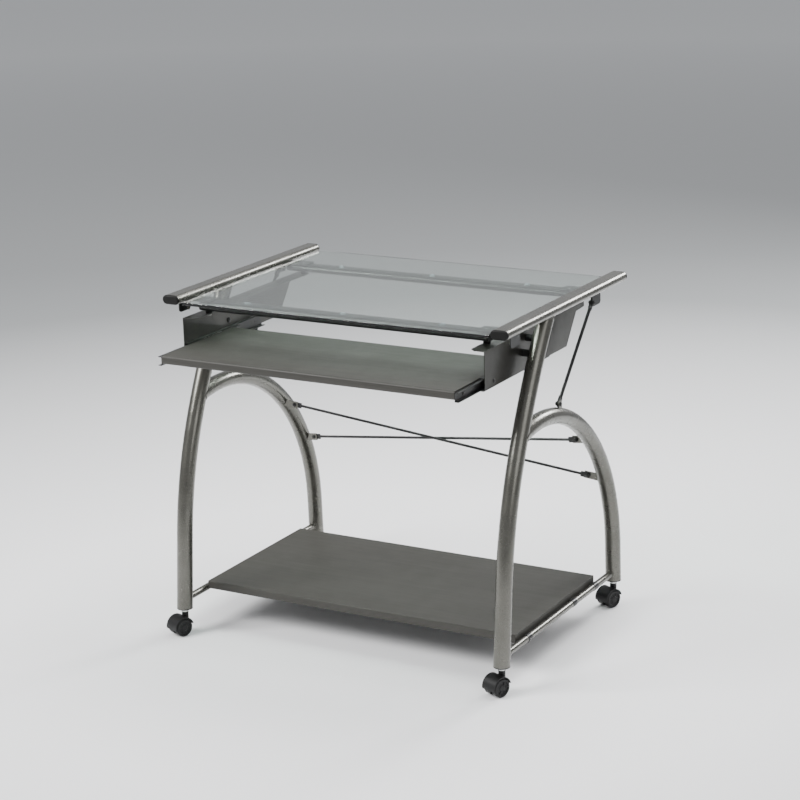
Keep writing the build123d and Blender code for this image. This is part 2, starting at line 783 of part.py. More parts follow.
# casters: the trailing axle is behind the stem, and a wheel turns on each end of it
ahead = Vector(-sin(radians(caster_heading)), cos(radians(caster_heading)), 0)
lateral = Vector(cos(radians(caster_heading)), sin(radians(caster_heading)), 0)
wheel_inner = hood_web / 2 + wheel_gap
wheel_outer = wheel_inner + wheel_width
cover_inner = wheel_radius + cover_gap
cover_outer = cover_inner + cover_wall
cap_inside = wheel_outer - cap_floor
collar_top = foot_z - socket_flange - 0.4
bore_radius = axle_radius + running_fit
for place, (x, y, lean) in feet.items():
    hub = Vector(x, y, wheel_radius) - ahead * caster_trail
    beside = Plane(hub, x_dir=ahead, z_dir=lateral)
    section_plane = Plane(hub, x_dir=lateral, z_dir=ahead * -1)

    # stem: a pin in the socket, a collar and a spigot in the hood's neck
    with BuildPart() as stem:
        with BuildSketch(Plane.XY.offset(stem_seat)):
            with Locations((x, y)):
                Circle(stem_radius)
        extrude(amount=stem_top - stem_seat)
        chamfer(stem.faces().sort_by(Axis.Z)[-1].edges(), 1.2)
        with BuildSketch(Plane.XY.offset(spigot_bottom)):
            with Locations((x, y)):
                Circle(spigot_radius)
        extrude(amount=stem_seat - spigot_bottom)
        with BuildSketch(Plane.XY.offset(neck_top)):
            with Locations((x, y)):
                Circle(collar_radius)
        extrude(amount=collar_top - neck_top)
    stem.part.label = f"caster_stem_{place}"
    export_step(stem.part, f"parts/caster_stem_{place}.step")

    # hood: a cover over both wheels, a neck for the stem and a web between the wheels
    with BuildPart() as hood:
        with BuildSketch(beside.offset(-wheel_outer)):
            Circle(cover_outer)
            Circle(cover_inner, mode=Mode.SUBTRACT)
            with BuildLine():
                Polyline((0, 0), (50, 14), (50, -60), (-60, -60), (-60, -9), close=True)
            make_face(mode=Mode.SUBTRACT)
        extrude(amount=2 * wheel_outer)
        with BuildSketch(Plane.XY.offset(neck_bottom)):
            with Locations((x, y)):
                Circle(neck_radius)
        extrude(amount=neck_top - neck_bottom)
        for s in sides.values():
            with BuildSketch(beside.offset(s * hood_web / 2)):
                Circle(cover_inner)
            extrude(amount=s * wheel_outer, mode=Mode.SUBTRACT)
        with BuildSketch(beside.offset(-hood_web / 2)):
            Circle(cover_inner + 0.5)
            with BuildLine():
                Polyline((8, -4), (50, 6), (50, -60), (-60, -60), (-60, -16), (-8, -10), close=True)
            make_face(mode=Mode.SUBTRACT)
            Circle(9)
        extrude(amount=hood_web)
        with BuildSketch(beside.offset(-hood_web / 2)):
            Circle(axle_radius)
        extrude(amount=hood_web, mode=Mode.SUBTRACT)
        with BuildSketch(Plane.XY.offset(stem_seat)):
            with Locations((x, y)):
                Circle(stem_radius)
        extrude(amount=neck_top - stem_seat, mode=Mode.SUBTRACT)
        with BuildSketch(Plane.XY.offset(spigot_bottom)):
            with Locations((x, y)):
                Circle(spigot_radius)
        extrude(amount=stem_seat - spigot_bottom, mode=Mode.SUBTRACT)
    hood.part.label = f"caster_hood_{place}"
    export_step(hood.part, f"parts/caster_hood_{place}.step")

    with BuildPart() as axle:
        with BuildSketch(beside.offset(0.4 - cap_inside)):
            Circle(axle_radius)
        extrude(amount=2 * cap_inside - 0.8)
    axle.part.label = f"caster_axle_{place}"
    export_step(axle.part, f"parts/caster_axle_{place}.step")

    # wheels: a blind bore from the inside and a recessed ring round a flat cap outside
    for side, s in sides.items():
        with BuildPart() as wheel:
            with BuildSketch(section_plane):
                with BuildLine():
                    Polyline(
                        (s * wheel_inner, bore_radius),
                        (s * wheel_inner, wheel_radius),
                        (s * wheel_outer, wheel_radius),
                        (s * wheel_outer, wheel_radius - 4.5),
                        (s * (wheel_outer - cap_recess), wheel_radius - 5.8),
                        (s * (wheel_outer - cap_recess), 8.0),
                        (s * (wheel_outer - 0.4), 6.7),
                        (s * (wheel_outer - 0.4), 0),
                        (s * cap_inside, 0),
                        (s * cap_inside, bore_radius),
                        close=True,
                    )
                make_face()
            revolve(axis=Axis(hub, lateral))
            fillet(wheel.faces().filter_by(GeomType.CYLINDER).sort_by(lambda f: f.area)[-1].edges(), 2.4)
        wheel.part.label = f"wheel_{place}_{side}"
        export_step(wheel.part, f"parts/wheel_{place}_{side}.step")
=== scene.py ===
import json
from math import atan2, cos, degrees, pi, radians, sin, sqrt

import bmesh
import bpy
from mathutils import Matrix, Vector


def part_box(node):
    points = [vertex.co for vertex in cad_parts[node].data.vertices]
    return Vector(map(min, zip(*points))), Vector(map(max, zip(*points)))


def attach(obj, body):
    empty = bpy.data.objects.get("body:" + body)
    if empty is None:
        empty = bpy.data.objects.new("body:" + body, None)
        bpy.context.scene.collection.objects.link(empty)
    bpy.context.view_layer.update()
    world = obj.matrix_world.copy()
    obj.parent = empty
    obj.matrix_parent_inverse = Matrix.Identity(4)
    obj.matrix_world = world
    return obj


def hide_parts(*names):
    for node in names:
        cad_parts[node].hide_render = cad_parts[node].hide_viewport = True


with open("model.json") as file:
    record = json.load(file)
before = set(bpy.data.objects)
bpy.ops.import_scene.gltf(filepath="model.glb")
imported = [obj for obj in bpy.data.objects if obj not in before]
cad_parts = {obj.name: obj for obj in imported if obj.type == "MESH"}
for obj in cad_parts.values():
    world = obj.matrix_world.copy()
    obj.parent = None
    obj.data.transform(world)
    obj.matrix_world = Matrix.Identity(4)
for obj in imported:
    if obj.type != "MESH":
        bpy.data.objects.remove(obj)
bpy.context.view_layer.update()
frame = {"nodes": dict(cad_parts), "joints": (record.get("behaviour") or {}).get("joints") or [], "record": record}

# Computer desk with a sliding keyboard tray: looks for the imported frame, in metres.

scene = bpy.context.scene
nodes = frame["nodes"]
sides = {"left": -1, "right": 1}


# Helpers for the materials

def linear(hexColour, alpha=1.0):  # sRGB hex to the linear colour that the nodes take
    parts = [int(hexColour[i:i + 2], 16) / 255 for i in (1, 3, 5)]
    curve = [c / 12.92 if c <= 0.04045 else ((c + 0.055) / 1.055) ** 2.4 for c in parts]
    return (*curve, alpha)


# a setting named by a number or an input's name sets that socket, and any other sets a property
def addNode(tree, kind, settings={}, links={}):
    node = tree.nodes.new(kind)
    for name, value in settings.items():
        if isinstance(name, int) or name in node.inputs:
            node.inputs[name].default_value = value
        else:
            setattr(node, name, value)
    for name, source in links.items():
        tree.links.new(source, node.inputs[name])
    return node


def startMaterial(name):
    material = bpy.data.materials.new(name)
    material.use_nodes = True
    tree = material.node_tree
    tree.nodes.clear()
    place = addNode(tree, "ShaderNodeTexCoord").outputs["Object"]
    return material, tree, place


def finishMaterial(tree, shader):
    addNode(tree, "ShaderNodeOutputMaterial", {}, {"Surface": shader.outputs[0]})


def twoColours(tree, factor, low, high):  # a colour between two, by a factor from 0 to 1
    mix = addNode(
        tree, "ShaderNodeMix", {"data_type": "RGBA", 6: linear(low), 7: linear(high)}, {0: factor}
    )
    return mix.outputs[2]


# one range of a value moved to another, and held at its ends
def spread(tree, value, fromLow, fromHigh, toLow, toHigh):
    node = addNode(
        tree, "ShaderNodeMapRange", {1: fromLow, 2: fromHigh, 3: toLow, 4: toHigh}, {0: value}
    )
    return node.outputs[0]


def perMetre(millimetres):  # a texture's scale for a feature of this size
    return 1000 / millimetres


# Powder coat: polyester powder with aluminium flake, sprayed on steel and baked. It gives a satin
# pewter with an orange-peel skin about 3 mm across and flake that glints in the light.
def powderCoat(name, low, high, flake, roughness, peel=0.00003):
    material, tree, place = startMaterial(name)
    cloud = addNode(
        tree, "ShaderNodeTexNoise", {"Scale": perMetre(90), "Detail": 3.0}, {"Vector": place}
    )
    body = twoColours(tree, spread(tree, cloud.outputs[0], 0.35, 0.65, 0, 1), low, high)
    # real flake is 0.05 mm, and is drawn at 0.7 mm to show at all
    flakes = addNode(tree, "ShaderNodeTexVoronoi", {"Scale": perMetre(0.7)}, {"Vector": place})
    glint = addNode(
        tree, "ShaderNodeSeparateColor", {}, {"Color": flakes.outputs["Color"]}
    ).outputs[0]
    glintShare = spread(tree, glint, 0.8, 1.0, 0, 0.22)
    colour = addNode(
        tree, "ShaderNodeMix", {"data_type": "RGBA", 7: linear(flake)}, {0: glintShare, 6: body}
    ).outputs[2]
    peelNoise = addNode(
        tree, "ShaderNodeTexNoise", {"Scale": perMetre(3), "Detail": 2.0, "Roughness": 0.4},
        {"Vector": place},
    )
    bump = addNode(
        tree, "ShaderNodeBump", {"Strength": 0.5, "Distance": peel},
        {"Height": peelNoise.outputs[0]},
    )
    dull = addNode(
        tree, "ShaderNodeTexNoise", {"Scale": perMetre(40), "Detail": 4.0}, {"Vector": place}
    )
    rough = spread(tree, dull.outputs[0], 0.3, 0.7, roughness - 0.05, roughness + 0.07)
    shader = addNode(
        tree,
        "ShaderNodeBsdfPrincipled",
        {"Metallic": 0.8, "Coat Weight": 0.3, "Coat Roughness": 0.18},
        {"Base Color": colour, "Roughness": rough, "Normal": bump.outputs[0]},
    )
    finishMaterial(tree, shader)
    return material


# Black enamel: baked semi-gloss paint on folded and drawn steel, with faint dust and rub marks.
def blackEnamel(name, base="#101010", dust="#2b2a28", roughness=0.36):
    material, tree, place = startMaterial(name)
    rub = addNode(
        tree, "ShaderNodeTexNoise", {"Scale": perMetre(35), "Detail": 6.0}, {"Vector": place}
    )
    colour = twoColours(tree, spread(tree, rub.outputs[0], 0.5, 0.8, 0, 0.6), base, dust)
    rough = spread(tree, rub.outputs[0], 0.3, 0.7, roughness - 0.06, roughness + 0.1)
    peelNoise = addNode(
        tree, "ShaderNodeTexNoise", {"Scale": perMetre(2.5), "Detail": 1.0}, {"Vector": place}
    )
    bump = addNode(
        tree, "ShaderNodeBump", {"Strength": 0.35, "Distance": 0.00006},
        {"Height": peelNoise.outputs[0]},
    )
    shader = addNode(
        tree,
        "ShaderNodeBsdfPrincipled",
        {"Specular IOR Level": 0.42, "Coat Weight": 0.06, "Coat Roughness": 0.2},
        {"Base Color": colour, "Roughness": rough, "Normal": bump.outputs[0]},
    )
    finishMaterial(tree, shader)
    return material


# Plated steel: zinc over turned or stamped steel. Bright with a cool cast, with fine turning lines
# and dull patches.
def platedSteel(name, low, high, roughness):
    material, tree, place = startMaterial(name)
    patch = addNode(
        tree, "ShaderNodeTexNoise", {"Scale": perMetre(6), "Detail": 4.0}, {"Vector": place}
    )
    colour = twoColours(tree, patch.outputs[0], low, high)
    lines = addNode(
        tree,
        "ShaderNodeTexNoise",
        {"Scale": 1.0, "Detail": 2.0},
        {"Vector": addNode(
            tree, "ShaderNodeMapping", {"Scale": (perMetre(8), perMetre(8), perMetre(0.4))},
            {"Vector": place},
        ).outputs[0]},
    )
    bump = addNode(
        tree, "ShaderNodeBump", {"Strength": 0.3, "Distance": 0.00003}, {"Height": lines.outputs[0]}
    )
    rough = spread(tree, patch.outputs[0], 0.3, 0.7, roughness - 0.06, roughness + 0.12)
    shader = addNode(
        tree,
        "ShaderNodeBsdfPrincipled",
        {"Metallic": 1.0},
        {"Base Color": colour, "Roughness": rough, "Normal": bump.outputs[0]},
    )
    finishMaterial(tree, shader)
    return material


# Float glass, tempered, with ground and polished edges: clear through its faces and green along
# its length, because the iron in it colours long paths. Lamps shine through it.
def floatGlass(name):
    material, tree, place = startMaterial(name)
    smear = addNode(
        tree, "ShaderNodeTexNoise", {"Scale": perMetre(160), "Detail": 3.0}, {"Vector": place}
    )
    rough = spread(tree, smear.outputs[0], 0.4, 0.75, 0.0, 0.035)
    glass = addNode(
        tree,
        "ShaderNodeBsdfPrincipled",
        {"Base Color": linear("#f4faf7"), "IOR": 1.52, "Transmission Weight": 1.0},
        {"Roughness": rough},
    )
    lampLight = addNode(tree, "ShaderNodeBsdfTransparent", {"Color": linear("#e4efe9")})
    ray = addNode(tree, "ShaderNodeLightPath")
    mix = addNode(
        tree, "ShaderNodeMixShader", {},
        {0: ray.outputs["Is Shadow Ray"], 1: glass.outputs[0], 2: lampLight.outputs[0]},
    )
    tint = addNode(tree, "ShaderNodeVolumeAbsorption", {"Color": linear("#a9cdbd"), "Density": 9.0})
    addNode(
        tree, "ShaderNodeOutputMaterial", {}, {"Surface": mix.outputs[0], "Volume": tint.outputs[0]}
    )
    return material


# Soft clear vinyl: cast pads, a little cloudy.
def clearVinyl(name):
    material, tree, place = startMaterial(name)
    haze = addNode(
        tree, "ShaderNodeTexNoise", {"Scale": perMetre(4), "Detail": 2.0}, {"Vector": place}
    )
    rough = spread(tree, haze.outputs[0], 0.3, 0.7, 0.1, 0.25)
    shader = addNode(
        tree,
        "ShaderNodeBsdfPrincipled",
        {"Base Color": linear("#dfe8f2"), "IOR": 1.5, "Transmission Weight": 0.75},
        {"Roughness": rough},
    )
    finishMaterial(tree, shader)
    return material


# Laminate: printed melamine paper pressed on fibreboard. A taupe-grey close wood print that runs
# along the board, under a satin skin with pores pressed into it.
def laminate(name, low, high, pore):
    material, tree, place = startMaterial(name)
    along = addNode(
        tree, "ShaderNodeMapping", {"Scale": (perMetre(260), perMetre(7), perMetre(7))},
        {"Vector": place},
    )
    figure = addNode(
        tree,
        "ShaderNodeTexNoise",
        {"Scale": 1.0, "Detail": 6.0, "Roughness": 0.6, "Distortion": 0.4},
        {"Vector": along.outputs[0]},
    )
    ground = twoColours(tree, spread(tree, figure.outputs[0], 0.32, 0.68, 0, 1), low, high)
    # pores are 0.3 mm wide, and are drawn 0.9 mm wide to show
    across = addNode(
        tree, "ShaderNodeMapping", {"Scale": (perMetre(28), perMetre(0.9), perMetre(0.9))},
        {"Vector": place},
    )
    pores = addNode(
        tree, "ShaderNodeTexNoise", {"Scale": 1.0, "Detail": 3.0}, {"Vector": across.outputs[0]}
    )
    poreShare = spread(tree, pores.outputs[0], 0.56, 0.74, 0, 0.5)
    colour = addNode(
        tree, "ShaderNodeMix", {"data_type": "RGBA", 7: linear(pore)}, {0: poreShare, 6: ground}
    ).outputs[2]
    bump = addNode(
        tree, "ShaderNodeBump", {"Strength": 0.35, "Distance": 0.00008, "invert": True},
        {"Height": poreShare},
    )
    handling = addNode(
        tree, "ShaderNodeTexNoise", {"Scale": perMetre(120), "Detail": 4.0}, {"Vector": place}
    )
    rough = spread(tree, handling.outputs[0], 0.3, 0.7, 0.46, 0.6)
    shader = addNode(
        tree,
        "ShaderNodeBsdfPrincipled",
        {"Specular IOR Level": 0.35},
        {"Base Color": colour, "Roughness": rough, "Normal": bump.outputs[0]},
    )
    finishMaterial(tree, shader)
    return material


# Moulded plastic: polypropylene or nylon from an etched mould. Nearly black, with a fine grain
# and paler scuffs.
def mouldedPlastic(name, base, scuff, roughness, scuffFrom=0.62, specular=0.3):
    material, tree, place = startMaterial(name)
    marks = addNode(
        tree, "ShaderNodeTexNoise", {"Scale": perMetre(9), "Detail": 7.0}, {"Vector": place}
    )
    colour = twoColours(
        tree, spread(tree, marks.outputs[0], scuffFrom, scuffFrom + 0.2, 0, 0.7), base, scuff
    )
    # the etched grain is 0.2 mm, and is drawn at 0.6 mm to show
    grain = addNode(
        tree, "ShaderNodeTexNoise", {"Scale": perMetre(0.6), "Detail": 2.0}, {"Vector": place}
    )
    bump = addNode(
        tree, "ShaderNodeBump", {"Strength": 0.4, "Distance": 0.00005}, {"Height": grain.outputs[0]}
    )
    rough = spread(tree, marks.outputs[0], 0.3, 0.7, roughness - 0.06, roughness + 0.12)
    shader = addNode(
        tree,
        "ShaderNodeBsdfPrincipled",
        {"Specular IOR Level": specular},
        {"Base Color": colour, "Roughness": rough, "Normal": bump.outputs[0]},
    )
    finishMaterial(tree, shader)
    return material


finishes = {
    "frame_coat": powderCoat("pewterPowderCoat", "#56554f", "#605f59", "#aaa9a3", 0.27),
    "plate_coat": powderCoat("darkPowderCoat", "#34332f", "#3b3a36", "#6b6963", 0.4),
    "black_steel": blackEnamel("blackEnamel"),
    "fastener_steel": platedSteel("brightZincPlate", "#b9bcbd", "#d6d6d2", 0.28),
    "black_screw": blackEnamel("blackZincScrews", "#1a1a19", "#45443f", 0.3),
    "glass": floatGlass("floatGlass"),
    "clear_bumper": clearVinyl("clearVinyl"),
    "laminate": laminate("taupeLaminate", "#32312d", "#3b3a36", "#292825"),
    "black_plastic": mouldedPlastic(
        "mouldedPolypropylene", "#10100f", "#24231f", 0.55, specular=0.22
    ),
    "caster_plastic": mouldedPlastic("mouldedNylon", "#0b0b0b", "#2b2925", 0.42),
}
for entry in frame["record"]["subparts"]:
    node = nodes[entry["node"]]
    node.data.materials.clear()
    node.data.materials.append(finishes[entry["material_slot"]])
print("materials:", len(finishes))


# Helpers for the shapes

finishing = {
    "merge": 0.000005, "looseMerge": 0.000002, "spinMerge": 0.000003,  # closer points become one
    "wideFace": 0.0006,  # square metres: a larger face of a board or pane stays truly flat
}


def finishPiece(name, shape, body, slotName, replaced=(), smoothTo=35):
    # closes a bmesh into a piece that rides on a body and may stand for CAD nodes
    bmesh.ops.remove_doubles(shape, verts=shape.verts, dist=finishing["merge"])
    bmesh.ops.recalc_face_normals(shape, faces=shape.faces)
    mesh = bpy.data.meshes.new(name)
    shape.to_mesh(mesh)
    shape.free()
    mesh.set_sharp_from_angle(angle=radians(smoothTo))
    for face in mesh.polygons:
        face.use_smooth = face.area < finishing["wideFace"]
    mesh.materials.append(finishes[slotName])
    piece = bpy.data.objects.new(name, mesh)
    scene.collection.objects.link(piece)
    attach(piece, body)
    if replaced:
        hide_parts(*replaced)
    return piece


def bevelEdges(shape, edges, width, segments):
    bmesh.ops.bevel(
        shape, geom=edges, offset=width, offset_type="OFFSET", affect="EDGES",
        segments=segments, profile=0.5, material=-1, clamp_overlap=True,
    )


def slab(low, high):  # a box between two corners
    shape = bmesh.new()
    bmesh.ops.create_cube(shape, size=1)
    bmesh.ops.scale(shape, vec=high - low, verts=shape.verts)
    bmesh.ops.translate(shape, vec=(low + high) / 2, verts=shape.verts)
    return shape


def edgesAlong(shape, axis):
    straight = 0.999  # the share of an edge's length that lies along the axis
    return [
        e for e in shape.edges
        if abs((e.verts[0].co - e.verts[1].co).normalized()[axis]) > straight
    ]


def sharpEdges(shape, angle=60):
    return [
        e for e in shape.edges
        if len(e.link_faces) == 2 and e.calc_face_angle() > radians(angle)
    ]


# Glass pane: rounded corners and ground edges

glassPane = {"corner": 0.006, "edgeBevel": 0.0009}
low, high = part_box("glass_top")
shape = slab(low, high)
bevelEdges(shape, edgesAlong(shape, 2), glassPane["corner"], 8)
bevelEdges(shape, sharpEdges(shape), glassPane["edgeBevel"], 3)
finishPiece("glassPane", shape, "base", "glass", ["glass_top"])
print("glass pane made")

# Boards: a rounded front edge, and a broken edge elsewhere

boards = {
    "trayBoard": {"node": "keyboard_tray", "body": "tray", "round": 0.0045, "edge": 0.0006},
    "shelfBoard": {"node": "bottom_shelf", "body": "base", "round": 0.0018, "edge": 0.0005},
}
# the joint between the laminate's face and the front edge's band: a fine groove
bandGroove = {"down": 0.0004, "wide": 0.0005, "deep": 0.0004, "ends": 0.002, "reach": 0.0002}
for name, board in boards.items():
    low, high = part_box(board["node"])
    shape = slab(low, high)
    front = [e for e in edgesAlong(shape, 0) if abs(e.verts[0].co.y - low.y) < 1e-6]
    bevelEdges(shape, front, board["round"], 8)
    bevelEdges(shape, sharpEdges(shape), board["edge"], 2)
    for step in (0, 1):
        level = high.z - board["round"] - bandGroove["down"] - step * bandGroove["wide"]
        bmesh.ops.bisect_plane(
            shape, geom=shape.verts[:] + shape.edges[:] + shape.faces[:], dist=1e-7,
            plane_co=(0, 0, level), plane_no=(0, 0, 1),
        )
    groove = [
        v for v in shape.verts
        if v.co.y < low.y + bandGroove["reach"] and abs(v.co.z - level) < 1e-5
        and low.x + bandGroove["ends"] < v.co.x < high.x - bandGroove["ends"]
    ]
    bmesh.ops.translate(shape, vec=(0, bandGroove["deep"], 0), verts=groove)
    finishPiece(name, shape, board["body"], "laminate", [board["node"]])
print("boards made")

# Screws: pan heads with a cross recess, one for each of the CAD's

screwShape = {
    "tipBevel": 0.0004, "segments": 32,
    "wing": 0.42, "half": 0.1, "taper": 0.6, "recess": 0.55,  # the cross, as shares of the head
    "nutRadius": 0.00485, "nutHeight": 0.004, "nutBevel": 0.0004, "nutFromTip": 0.0055,
    "turnStep": 0.83,  # radians from one screw's cross to the next one's
}
# a stay's screw lies beyond stayX, and a brace's tab leans by rise above middle and back below it
braceTab = {"stayX": 0.385, "middle": 0.36, "rise": 0.103, "along": 0.9947}


def looseParts(nodeName):  # the points of each separate solid of a CAD node
    solid = bmesh.new()
    solid.from_mesh(nodes[nodeName].data)
    bmesh.ops.remove_doubles(solid, verts=solid.verts, dist=finishing["looseMerge"])
    waiting = set(solid.verts)
    parts = []
    while waiting:
        found = [waiting.pop()]
        for point in found:
            for edge in point.link_edges:
                other = edge.other_vert(point)
                if other in waiting:
                    waiting.remove(other)
                    found.append(other)
        parts.append([v.co.copy() for v in found])
    solid.free()
    return parts


def spun(profile, segments):  # a profile of (radius, height) points turned once about Z
    shape = bmesh.new()
    points = [shape.verts.new((r, 0, z)) for r, z in profile]
    line = [shape.edges.new(pair) for pair in zip(points, points[1:])]
    bmesh.ops.spin(
        shape, geom=points + line, cent=(0, 0, 0), axis=(0, 0, 1), angle=2 * pi, steps=segments,
        use_merge=True,
    )
    bmesh.ops.remove_doubles(shape, verts=shape.verts, dist=finishing["spinMerge"])
    return shape


def crossHead(head, height, shank, reach, nutBelow):
    # a pan head on z = 0 with its shank below, and a nut where nutBelow says
    shape = spun([
        (0, -reach), (shank - screwShape["tipBevel"], -reach),
        (shank, -reach + screwShape["tipBevel"]), (shank, 0),
        (head * 0.97, 0), (head, height * 0.08), (head, height * 0.3), (head * 0.95, height * 0.56),
        (head * 0.82, height * 0.8), (head * 0.66, height * 0.94), (head * 0.55, height),
    ], screwShape["segments"])
    rim = [e for e in shape.edges if len(e.link_faces) == 1]
    wing, half = head * screwShape["wing"], head * screwShape["half"]
    outline = [
        (wing, -half), (wing, half), (half, half), (half, wing), (-half, wing), (-half, half),
        (-wing, half), (-wing, -half), (-half, -half), (-half, -wing), (half, -wing), (half, -half),
    ]
    corners = [shape.verts.new((x, y, height)) for x, y in outline]
    recess = [shape.edges.new((corners[i - 1], corners[i])) for i in range(len(corners))]
    bmesh.ops.triangle_fill(shape, edges=rim + recess, use_beauty=True, normal=(0, 0, 1))
    made = bmesh.ops.extrude_edge_only(shape, edges=recess)["geom"]
    floor = [v for v in made if isinstance(v, bmesh.types.BMVert)]
    bmesh.ops.scale(shape, vec=(screwShape["taper"], screwShape["taper"], 1), verts=floor)
    bmesh.ops.translate(shape, vec=(0, 0, -height * screwShape["recess"]), verts=floor)
    bmesh.ops.contextual_create(shape, geom=[e for e in made if isinstance(e, bmesh.types.BMEdge)])
    if nutBelow:
        before = set(shape.verts)
        bmesh.ops.create_cone(
            shape, cap_ends=True, segments=6, depth=screwShape["nutHeight"],
            radius1=screwShape["nutRadius"], radius2=screwShape["nutRadius"],
            matrix=Matrix.Translation((0, 0, -nutBelow - screwShape["nutHeight"] / 2)),
        )
        nut = [v for v in shape.verts if v not in before]
        nutEdges = {e for v in nut for e in v.link_edges}
        bevelEdges(shape, list(nutEdges), screwShape["nutBevel"], 2)
    bmesh.ops.recalc_face_normals(shape, faces=shape.faces)
    mesh = bpy.data.meshes.new("screwPattern")
    shape.to_mesh(mesh)
    shape.free()
    return mesh


def outwards(point):
    return Vector((1 if point.x > 0 else -1, 0, 0))


def braceScrewAxis(point):  # a stay's screw points outwards, a brace's along its tab's normal
    if abs(point.x) > braceTab["stayX"]:
        return outwards(point)
    side = 1 if point.x > 0 else -1
    rise = braceTab["rise"] if point.z > braceTab["middle"] else -braceTab["rise"]
    return Vector((rise, side * braceTab["along"], 0)).normalized()


screwSets = {
    "legScrews": {
        "node": "leg_screws", "body": "base", "head": 0.006, "height": 0.003, "shank": 0.003,
        "axis": lambda point: -outwards(point),
    },
    "plateScrews": {
        "node": "plate_screws", "body": "base", "head": 0.0044, "height": 0.0022, "shank": 0.0025,
        "axis": outwards,
    },
    "trayScrews": {
        "node": "tray_screws", "body": "tray", "head": 0.0036, "height": 0.0018, "shank": 0.0018,
        "axis": outwards,
    },
    "shelfScrews": {
        "node": "shelf_screws", "body": "base", "head": 0.0044, "height": 0.0022, "shank": 0.0022,
        "axis": lambda point: Vector((0, 0, -1)),
    },
    "braceScrews": {
        "node": "brace_screws", "body": "base", "head": 0.0046, "height": 0.0026, "shank": 0.0025,
        "axis": braceScrewAxis, "nut": True,
    },
}
turns = 0
for name, screws in screwSets.items():
    shape = bmesh.new()
    for points in looseParts(screws["node"]):
        centre = sum(points, Vector()) / len(points)
        axis = screws["axis"](centre)
        top = max(p.dot(axis) for p in points)
        reach = top - min(p.dot(axis) for p in points) - screws["height"]
        flat = [p - axis * p.dot(axis) for p in points]
        middle = Vector([(min(p[i] for p in flat) + max(p[i] for p in flat)) / 2 for i in range(3)])
        nutBelow = reach - screwShape["nutFromTip"] if screws.get("nut") else 0
        pattern = crossHead(screws["head"], screws["height"], screws["shank"], reach, nutBelow)
        before = len(shape.verts)
        shape.from_mesh(pattern)
        bpy.data.meshes.remove(pattern)
        shape.verts.ensure_lookup_table()
        turns += 1
        facing = axis.to_track_quat("Z", "Y").to_matrix() @ Matrix.Rotation(
            turns * screwShape["turnStep"], 3, "Z"
        )
        seat = middle + axis * (top - screws["height"])
        place = Matrix.Translation(seat) @ facing.to_4x4()
        bmesh.ops.transform(shape, matrix=place, verts=shape.verts[before:])
    finishPiece(name, shape, screws["body"], "black_screw", [screws["node"]])
print("screws made:", turns)

# Weld beads: low ripples of weld under the coat, where one tube meets another

weld = {
    "thick": 0.0015, "ripple": 0.14, "sink": 0.0004, "steps": 84, "thinSteps": 44,
    "railX": 0.388, "tube": 0.0175, "thinTube": 0.0075,  # tubes by their radius
    "railUnder": 0.740, "railMiddle": 0.750, "railRound": 0.010,
    "legTop": -0.02518, "legSlope": 0.686,  # the leg's axis: y at the rail's underside, y per z
    "archEnd": (0, -0.150, 0.5195), "footLevel": 0.060,
}


def weldRing(points, shape):  # one closed bead along these points, added to a bmesh
    line = bpy.data.curves.new("weldLine", "CURVE")
    line.dimensions = "3D"
    line.bevel_depth = weld["thick"]
    line.bevel_resolution = 2
    run = line.splines.new("POLY")
    run.points.add(len(points) - 1)
    for index, point in enumerate(points):
        run.points[index].co = (*point, 1)
        run.points[index].radius = 1 + weld["ripple"] * (1 if index % 2 else -1)
    run.use_cyclic_u = True
    holder = bpy.data.objects.new("weldLine", line)
    bead = bpy.data.meshes.new_from_object(holder)
    shape.from_mesh(bead)
    bpy.data.objects.remove(holder)
    bpy.data.meshes.remove(bead)


legLean = {"foot": radians(5), "arch": radians(24.6), "rail": radians(34.43)}
# each foot: its y at footLevel, its lean and the side that the thin tube comes from
feet = ((-0.245, legLean["foot"], 1), (0.316, radians(-2), -1))
archFall = radians(194.1)  # the arch's direction at the leg, from the back towards the top
shape = bmesh.new()
for side in sides.values():
    ring = []
    for step in range(weld["steps"]):  # leg to rail
        angle = 2 * pi * step / weld["steps"]
        dx = weld["tube"] * sin(angle)
        z = weld["railUnder"]
        if abs(dx) > weld["railRound"]:
            beyond = abs(dx) - weld["railRound"]
            z = weld["railMiddle"] - sqrt(weld["railRound"] ** 2 - beyond ** 2)
        axisY = weld["legTop"] + (z - weld["railUnder"]) * weld["legSlope"]
        y = axisY + weld["tube"] * cos(angle) / cos(legLean["rail"])
        ring.append((side * (weld["railX"] + dx), y, z - weld["sink"]))
    weldRing(ring, shape)
    ring = []
    run = Vector((0, cos(archFall), sin(archFall)))
    beside = Vector((0, -run.z, run.y))
    face = Vector((0, cos(legLean["arch"]), -sin(legLean["arch"])))
    for step in range(weld["steps"]):  # arch to leg
        angle = 2 * pi * step / weld["steps"]
        along = weld["tube"] * (abs(cos(angle)) - cos(angle) * beside.dot(face)) / run.dot(face)
        point = Vector(weld["archEnd"]) + weld["tube"] * cos(angle) * beside + along * run
        ring.append((side * (weld["railX"] + weld["tube"] * sin(angle)), point.y, point.z))
    weldRing(ring, shape)
    for foot, lean, back in feet:
        ring = []
        tubeZ = (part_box("side_tube_left")[0].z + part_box("side_tube_left")[1].z) / 2
        for step in range(weld["thinSteps"]):  # side tube to foot
            angle = 2 * pi * step / weld["thinSteps"]
            dx = weld["thinTube"] * sin(angle)
            z = tubeZ + weld["thinTube"] * cos(angle)
            axisY = foot + (z - weld["footLevel"]) * sin(lean) / cos(lean)
            y = axisY + back * sqrt(weld["tube"] ** 2 - dx ** 2) / cos(lean)
            ring.append((side * weld["railX"] + dx, y, z))
        weldRing(ring, shape)
finishPiece("weldBeads", shape, "base", "frame_coat", smoothTo=80)
print("weld beads made")

# Wheels: a rounded tread with a mould line, a dished face with spokes and a domed hub cap

